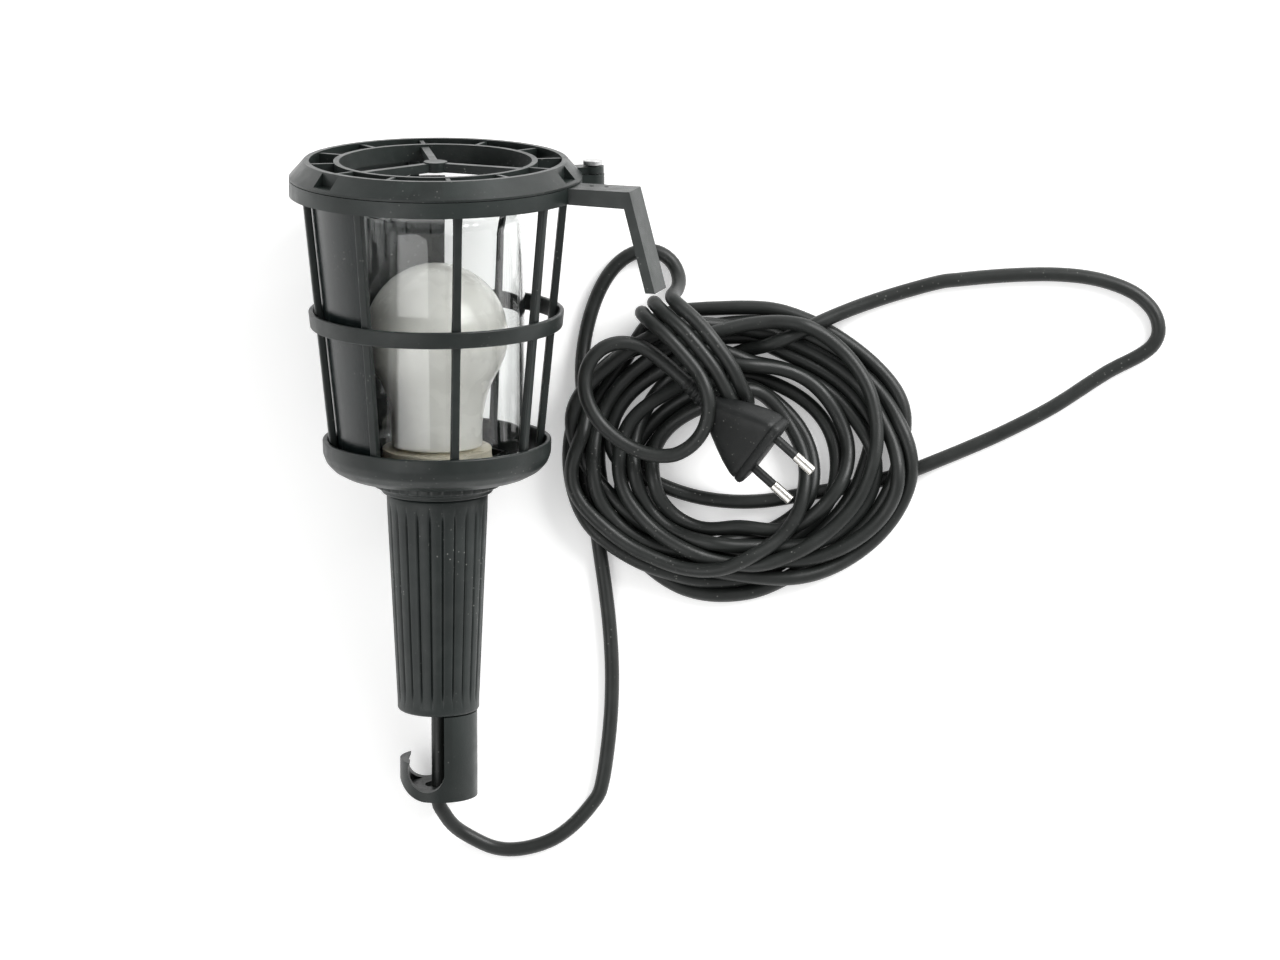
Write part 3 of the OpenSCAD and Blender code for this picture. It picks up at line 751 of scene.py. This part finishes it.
def make_cup():
    inner_low, inner_top = bar_face(FLOOR_S + 10), bar_face(FLOOR_S + 15)
    outline = rounded([
        (17, FLOOR_S), (27, FLOOR_S), (36, FLOOR_S + 1.4), (CUP_R - 4, FLOOR_S + 3.6),
        (CUP_R - 1.4, FLOOR_S + 6.4), (CUP_R - 0.2, FLOOR_S + 9.6), (CUP_R, FLOOR_S + 15),
        (inner_top, FLOOR_S + 15), (inner_low, FLOOR_S + 10), (CUP_R - 3.8, FLOOR_S + 7.4),
        (CUP_R - 6, FLOOR_S + 5.2), (CUP_R - 8, FLOOR_S + 4), (17, FLOOR_S + 4),
    ], 0.8)
    mesh = turned("cage_cup_rounded", outline, 192)
    add_piece("cage_cup_rounded", mesh, "lamp", "housing_plastic", ["cage_cup"])


make_bars()
make_mid_ring()
make_cup()
bevelled_copy("cage_top_ring", "lamp", 0.6)
bevelled_copy("glare_shield", "lamp", 0.35)
bevelled_copy("hook_arm", "lamp", 0.8)
bevelled_copy("lid", "lid", 0.45)
bevelled_copy("lid_pin", "lamp", 0.4)
bevelled_copy("tail_hook", "tail", 0.8)
bevelled_copy("lamp_holder", "lamp", 0.5)
bevelled_copy("socket_housing", "lamp", 0.3)


# ---------------------------------------------------------------- glass and bulb

JAR_R = 34.0
JAR_WALL = 2.0
JAR_H = 101.0
JAR_CORNER = 9.0
JAR_FOOT = FLOOR_S + 6.1
BULB_R = 27.5
BULB_AT = FLOOR_S + 55.5
BULB_NECK_R = 17.5
BULB_RIM = FLOOR_S + 12.6


def arc_points(centre, r, start, end, steps):
    """Points on an arc in the (r, s) plane, angles in degrees from straight out."""
    angles = np.radians(np.linspace(start, end, steps + 1))
    return [(centre[0] + r * math.cos(a), centre[1] + r * math.sin(a)) for a in angles]


def make_jar():
    top = JAR_FOOT + JAR_H
    centre = (JAR_R - JAR_CORNER, top - JAR_CORNER)
    outer = [(JAR_R, JAR_FOOT + 0.5)] + [(JAR_R, JAR_FOOT + 8 * k) for k in range(1, 12)]
    outer += arc_points(centre, JAR_CORNER, 0, 90, 12) + [(14, top - 0.2), (6, top - 0.5), (0.05, top - 0.6)]
    inner = [(0.05, top - JAR_WALL - 0.6), (6, top - JAR_WALL - 0.5), (14, top - JAR_WALL - 0.2)]
    inner += arc_points(centre, JAR_CORNER - JAR_WALL, 90, 0, 12)
    inner += [(JAR_R - JAR_WALL, JAR_FOOT + 8 * k) for k in range(11, 0, -1)]
    inner += [(JAR_R - JAR_WALL, JAR_FOOT + 0.5), (JAR_R - 1.4, JAR_FOOT), (JAR_R - 0.6, JAR_FOOT)]
    mesh = turned("glass_jar_clear", outer + inner, 192)
    add_piece("glass_jar_clear", mesh, "lamp", "clear_glass", ["glass_jar"], 60)


def make_bulb():
    tangent = -31                        # where the globe turns into the neck
    join = Vector(arc_points((0, BULB_AT), BULB_R, tangent, tangent, 0)[0])
    meet = join.y - (join.x - BULB_NECK_R) * math.tan(math.radians(90 + tangent))
    start, bend = Vector((BULB_NECK_R, BULB_RIM + 5)), Vector((BULB_NECK_R, meet))
    outline = [(0.05, BULB_RIM), (BULB_NECK_R - 0.8, BULB_RIM), (BULB_NECK_R - 0.2, BULB_RIM + 0.2),
               (BULB_NECK_R, BULB_RIM + 0.8)]
    for k in range(13):
        f = k / 13
        outline.append(tuple(start * (1 - f) ** 2 + bend * 2 * f * (1 - f) + join * f ** 2))
    outline += arc_points((0, BULB_AT), BULB_R, tangent, 89.9, 36)
    mesh = turned("bulb_globe_opal", outline, 160)
    add_piece("bulb_globe_opal", mesh, "lamp", "bulb_opal", ["bulb_globe"], 60)


make_jar()
make_bulb()


# ---------------------------------------------------------------- setting

FLOOR_HALF = 4.0


def make_floor():
    """A white floor that glows a little, so that it comes out as the plain pale surround."""
    corners = [(x * FLOOR_HALF, y * FLOOR_HALF, 0) for x, y in ((-1, -1), (1, -1), (1, 1), (-1, 1))]
    mesh = bpy.data.meshes.new("floor")
    mesh.from_pydata(corners, [], [(0, 1, 2, 3)])
    floor = bpy.data.objects.new("floor", mesh)
    bpy.context.collection.objects.link(floor)
    n = Nodes("floor_white")
    n.link(n.blend(n.noise(6, 3), (0.93, 0.93, 0.925), (0.96, 0.96, 0.955)), n.shader.inputs["Base Color"])
    n.link(n.spread(n.noise(90, 4), 0.3, 0.7, 0.6, 0.75), n.shader.inputs["Roughness"])
    n.bump(n.noise(800, 3), 0.00003)
    n.set("Emission Color", (1, 1, 1, 1))
    n.set("Emission Strength", 0.3)
    mesh.materials.append(n.material)


def area_light(name, place, target, size, power):
    data = bpy.data.lights.new(name, "AREA")
    data.shape = "RECTANGLE"
    data.size, data.size_y = size
    data.energy = power
    light = bpy.data.objects.new(name, data)
    light.location = place
    light.rotation_euler = (Vector(target) - Vector(place)).to_track_quat("-Z", "Y").to_euler()
    bpy.context.collection.objects.link(light)


def make_world():
    """A white surround that is brighter towards the horizon than overhead."""
    world = bpy.data.worlds.new("studio")
    world.use_nodes = True
    tree = world.node_tree
    place = tree.nodes.new("ShaderNodeTexCoord").outputs["Generated"]
    height = tree.nodes.new("ShaderNodeSeparateXYZ")
    tree.links.new(place, height.inputs["Vector"])
    level = tree.nodes.new("ShaderNodeMapRange")
    level.inputs["From Min"].default_value = 0.15
    level.inputs["From Max"].default_value = 0.95
    level.inputs["To Min"].default_value = 1.1
    level.inputs["To Max"].default_value = 0.5
    tree.links.new(height.outputs["Z"], level.inputs["Value"])
    tree.links.new(level.outputs["Result"], tree.nodes["Background"].inputs["Strength"])
    tree.nodes["Background"].inputs["Color"].default_value = (1, 1, 1, 1)
    bpy.context.scene.world = world


def make_light():
    area_light("key", (1.3, 1.1, 1.1), (0.0, 0, 0), (1.1, 1.1), 42)
    area_light("fill", (-1.1, -0.5, 1.7), (0.05, 0, 0), (1.4, 1.4), 12)
    view = bpy.context.scene.view_settings
    view.view_transform = "Standard"
    view.look = "None"


make_floor()
make_world()
make_light()

bpy.context.view_layer.update()
